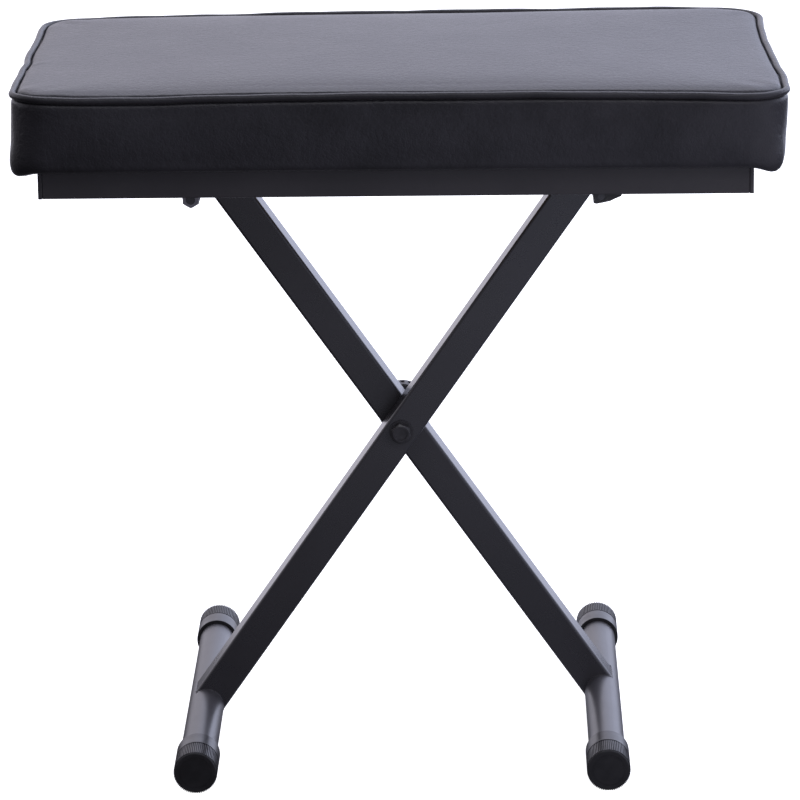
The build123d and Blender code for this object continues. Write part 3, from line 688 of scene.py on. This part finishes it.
def capped(field, points):
    """Limits how far a point may move: foam holds the top to a low crown and the band almost flat."""
    out = field.copy()
    out[:, :2] = SIDE_SWELL * np.tanh(out[:, :2] / SIDE_SWELL)
    out[:, 2] = CROWN * np.sign(out[:, 2]) * (1 - np.exp(-np.abs(out[:, 2]) / CROWN_REACH))
    below = points[:, 2] < BOTTOM + 6
    out[below] *= np.clip((points[below, 2:3] - BOTTOM) / 6, 0, 1)
    return out


def top_shape(x, y):
    """How far the top rises or sinks at each place, apart from its crown."""
    gap_x, gap_y = HALF_X - np.abs(x), HALF_Y - np.abs(y)
    # soft gathers that run in from the corners
    corner_gap = np.hypot(gap_x, gap_y)
    fold = np.sin((gap_x - gap_y) / 5.2 + np.sign(x) * 0.8 + np.sign(y) * 1.9)
    rise = 0.22 * fold * np.exp(-((corner_gap - 26) / 15) ** 2)
    # a short crease left by handling
    along = (x + 251) * 0.65 + (y + 35) * 0.76
    across = -(x + 251) * 0.76 + (y + 35) * 0.65
    rise += 0.5 * np.exp(-(along / 7) ** 2 - (across / 2.4) ** 2)
    # low, broad unevenness of foam under vinyl
    rise += 0.12 * (np.sin(x / 61 + 0.7) * np.sin(y / 47 + 1.1) + 0.6 * np.sin(x / 37 - y / 53))
    # the edge is full at the front and sinks behind the seam along the back
    forward = 0.5 - y / (2 * HALF_Y)
    rise += 0.9 * forward * np.clip((np.minimum(gap_x, gap_y) - 3.4) / 2.5, 0, 1)
    along_back = 0.5 * (np.tanh((x + 110) / 14) - np.tanh((x - 210) / 8))
    return rise - np.where(y > 0, 2.0 * along_back * np.exp(-((gap_y - 6) / 7) ** 2), 0)


def cushion():
    """The vinyl skin over foam, swollen by its filling and a little uneven."""
    points, faces = cushion_mesh()
    points += capped(swell(points, faces), points)
    x, y, z = points.T.copy()
    points[:, 2] += np.where(z > SEAM_Z + 0.9, top_shape(x, y), 0)
    # the band: faint vertical waves, full lower corners, and its closing seam at the back
    band = (z > BOTTOM + 4) & (z < SEAM_Z - 3)
    around = np.arctan2(y / HALF_Y, x / HALF_X) / (2 * math.pi) % 1
    droop = corner_droop(x, y)
    bulge = np.where(x < 0, 0.3, 0.75) * droop * np.exp(-((z - BOTTOM - 7) / 13) ** 2) * (z < SEAM_Z - 8)
    out = np.where(band, 0.16 * wave(around, 5, 9, 9, 34), 0) + bulge
    outward = np.resize(outline(0)[1], (len(points), 2))
    points[:, :2] += out[:, None] * outward
    points[:, 1] -= np.where(band & (y > 0), 0.9 * np.exp(-((x - 60) / 2.0) ** 2), 0)
    points[:, 2] -= droop * np.clip((BOTTOM + 22 - z) / 22, 0, 1)
    skin = mesh_object("cushion_skin", settle(points), faces, VINYL, "seat", "vinyl")
    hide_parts("cover_top", "cover_band", "foam_pad")


def piping():
    """The welt cord in the seam between the top and the band."""
    count = 900
    xy, outward = outline(0.35, count)
    share = np.arange(count) / count
    path = np.column_stack([xy, np.full(count, SEAM_Z)])
    path[:, :2] += outward * (0.12 * wave(share, 3, 8, 5, 40))[:, None]
    path[:, 2] += 0.16 * wave(share, 4, 8, 5, 30)
    # the cord's covered ends lap at the back
    lap = np.exp(-(((share - 0.335 + 0.5) % 1 - 0.5) * count / 5) ** 2)
    radius = PIPING_RADIUS + 0.05 * wave(share, 8, 8, 12, 90) + 0.35 * lap
    points, faces = tube(settle(path), radius, 18)
    made = mesh_object("cushion_piping", points, faces, PIPING, "seat", "piping")
    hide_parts("cover_piping")


def hem():
    """The vinyl turned in under the board, pleated at its corners, with its cut edge showing."""
    count, rows, thick = 720, 12, 1.0
    share = np.arange(count) / count
    reach = HEM_REACH + 1.2 * wave(share, 21, 10, 3, 26)
    outer, inner = outline(4.0, count)[0], outline(HEM_REACH, count, HEM_REACH + 4)[0]
    rings = []
    for layer in (0, 1):
        for t in np.linspace(0, 1, rows):
            span = ((1.0 + (reach - 5.0) * t) / (HEM_REACH - 4.0))[:, None]
            xy = outer * (1 - span) + inner * span
            gap_x, gap_y = HALF_X - np.abs(xy[:, 0]), HALF_Y - np.abs(xy[:, 1])
            pleat = np.exp(-((gap_x - gap_y) / 16) ** 2) * math.sin(math.pi * min(t * 1.4, 1))
            fold = 0.35 * pleat * np.sin((gap_x - gap_y) / 2.6)
            under = BOTTOM + 0.12 + 0.08 * math.sin(math.pi * t)
            height = under + layer * thick + fold * (1 - layer) - corner_droop(*xy.T) * (1 - t)
            rings.append(np.column_stack([xy[:, 0] + SHIFT_X, xy[:, 1], height]))
    faces = []
    for layer in (0, 1):
        base = layer * rows * count
        for r in range(rows - 1):
            for i in range(count):
                j = (i + 1) % count
                a, b = base + r * count, base + (r + 1) * count
                quad = (a + i, a + j, b + j, b + i)
                faces.append(quad[::-1] if layer else quad)
    top, last = rows * count, (rows - 1) * count
    for i in range(count):
        j = (i + 1) % count
        faces.append((i, top + i, top + j, j))
        faces.append((last + j, top + last + j, top + last + i, last + i))
    mesh_object("cushion_hem", np.concatenate(rings), faces, HEM, "seat", "vinyl")


# ---------------------------------------------------------------- staples and welds


def staples():
    """Wire staples through the hem beside its cut edge, a little out of line with each other."""
    wire, width, sink = 0.55, 9.5, 0.9
    uneven = np.random.default_rng(7)
    row_x, row_y = HALF_X - STAPLE_INSET, HALF_Y - STAPLE_INSET
    places = [(x, side * row_y, 0.0) for side in (-1, 1) for x in np.arange(-192, 193, 24)]
    places += [(side * row_x, y, math.pi / 2) for side in (-1, 1) for y in np.arange(-80, 81, 20)]
    run = np.array([(-width / 2, sink), (-width / 2, -0.05), (-width / 2 + 0.5, -0.35),
                    (width / 2 - 0.5, -0.35), (width / 2, -0.05), (width / 2, sink)])
    parts = []
    for x, y, turn in places:
        x, y = x + uneven.normal() * 1.0 + SHIFT_X, y + uneven.normal() * 1.0
        turn += uneven.normal() * 0.12
        along = np.array((math.cos(turn), math.sin(turn)))
        path = np.column_stack([np.array((x, y)) + run[:, :1] * along, BOTTOM + 0.1 + run[:, 1]])
        parts.append(tube(path, wire / 2, 6, closed=False))
    mesh_object("hem_staples", *join(parts), ZINC, "seat", "zinc")


# the legs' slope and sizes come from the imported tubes
tube_low, tube_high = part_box("rear_leg_tube")
bolt_low, bolt_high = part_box("pivot_bolt")
CROSS_Z = (bolt_low.z + bolt_high.z) / 2 / MM
SLOPE = math.atan2(CROSS_Z - FOOT_Z, FOOT_X)
LEG_Y = (tube_low.y + tube_high.y) / 2 / MM
LEG_HALF = (tube_high.y - tube_low.y) / 2 / MM
LEG_CORNER = 2.0
ROD_RADIUS = 6.0
BEAD_STEP = 1.9            # from one ripple of a weld to the next


def bead(path, radius, seed):
    """A weld bead: overlapping ripples along a closed path."""
    step = np.linalg.norm(np.roll(path, -1, 0) - path, axis=1)
    run = np.concatenate([[0], np.cumsum(step)[:-1]])
    total = run[-1] + step[-1]
    ripple = 1 + 0.10 * np.abs(np.sin(math.pi * run / (total / round(total / BEAD_STEP))))
    ripple += 0.07 * wave(run / total, seed, 6, 2, 12)
    return tube(path, radius * ripple, 10)


def saddle_weld():
    """The bead where a leg sits on its foot tube: round the square tube, on the foot tube's surface."""
    middle = LEG_HALF + 0.02 - LEG_CORNER
    ring = []
    for quarter, (a, b) in enumerate(((1, 1), (-1, 1), (-1, -1), (1, -1))):
        for turn in (quarter + np.linspace(0, 1, 8)) * math.pi / 2:
            at_corner = (LEG_CORNER * math.cos(turn), LEG_CORNER * math.sin(turn))
            ring.append((a * middle + at_corner[0], b * middle + at_corner[1]))
    ring = np.array(ring + ring[:1])
    run = np.concatenate([[0], np.cumsum(np.linalg.norm(np.diff(ring, axis=0), axis=1))])
    at = np.linspace(0, run[-1], 192, endpoint=False)
    a, b = np.interp(at, run, ring[:, 0]), np.interp(at, run, ring[:, 1])
    # how far up the leg's own direction the foot tube's surface is
    up = np.sqrt(FOOT_R ** 2 - np.clip(np.abs(a), 0, FOOT_R - 0.1) ** 2) - 0.05
    path = a[:, None] * (math.sin(SLOPE), 0, math.cos(SLOPE)) + b[:, None] * (0, 1, 0)
    path += up[:, None] * (-math.cos(SLOPE), 0, math.sin(SLOPE))
    return bead(path + (FOOT_X, LEG_Y, FOOT_Z), 0.36, 31)


def rod_weld(y, seed):
    """A bead round the rod where it leaves a leg's face."""
    low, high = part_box("pivot_rod")
    x, z = (low.x + high.x) / 2 / MM, (low.z + high.z) / 2 / MM
    angle = np.linspace(0, 2 * math.pi, 72, endpoint=False)
    radius = ROD_RADIUS + 0.3
    path = np.column_stack([x + radius * np.cos(angle), np.full(72, y), z + radius * np.sin(angle)])
    return bead(path, 0.8, seed)


def welds():
    """Both legs have the same welds. The front leg is the rear leg turned half round the bench's middle."""
    rings = [rod_weld(tube_high.y / MM + 0.1, 41), rod_weld(tube_low.y / MM - 0.1, 42)]
    points, faces = join([saddle_weld(), *rings])
    mesh_object("rear_leg_welds", points, faces, LEG_PAINT, "rear_leg", "leg_paint")
    mesh_object("front_leg_welds", points * (-1, -1, 1), faces, LEG_PAINT, "front_leg", "leg_paint")


cushion()
piping()
hem()
staples()
welds()
